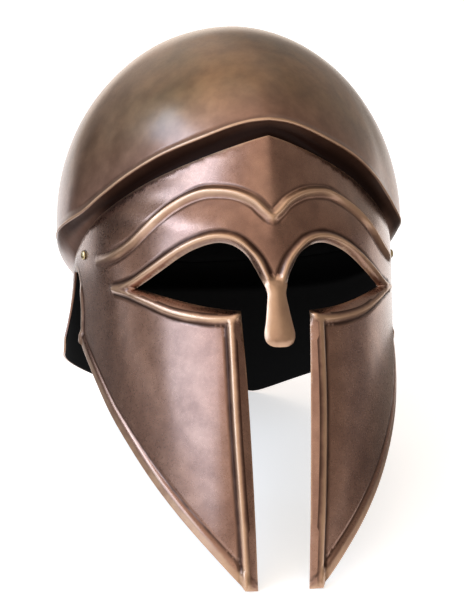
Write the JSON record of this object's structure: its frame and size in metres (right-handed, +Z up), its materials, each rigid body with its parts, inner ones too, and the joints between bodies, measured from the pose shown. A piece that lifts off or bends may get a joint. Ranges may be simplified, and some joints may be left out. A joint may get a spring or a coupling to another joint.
{
  "type": "italo-corinthian helmet",
  "caption": "Open-faced metal helmet: smooth rounded skull with a pointed front ridge, riveted face plate with embossed brows, nasal and long cheek pieces, flared neck guard.",
  "frame": {"origin": "centre of the helmet's outline on the floor that it rests on", "axes": "+Z up, the face looks towards -Y and slightly upwards, +X is to the right of someone who looks at the face"},
  "size_m": [0.2198, 0.3412, 0.2726],
  "materials": {
    "antique_copper": "satin antique copper over steel sheet, darkened in the grooves, crests rubbed lighter, matt black inside",
    "rivet_brass": "aged satin brass"
  },
  "bodies": {
    "root": {"skull": "antique_copper", "face_plate": "antique_copper", "rivet_left": "rivet_brass", "rivet_right": "rivet_brass"}
  },
  "joints": []
}
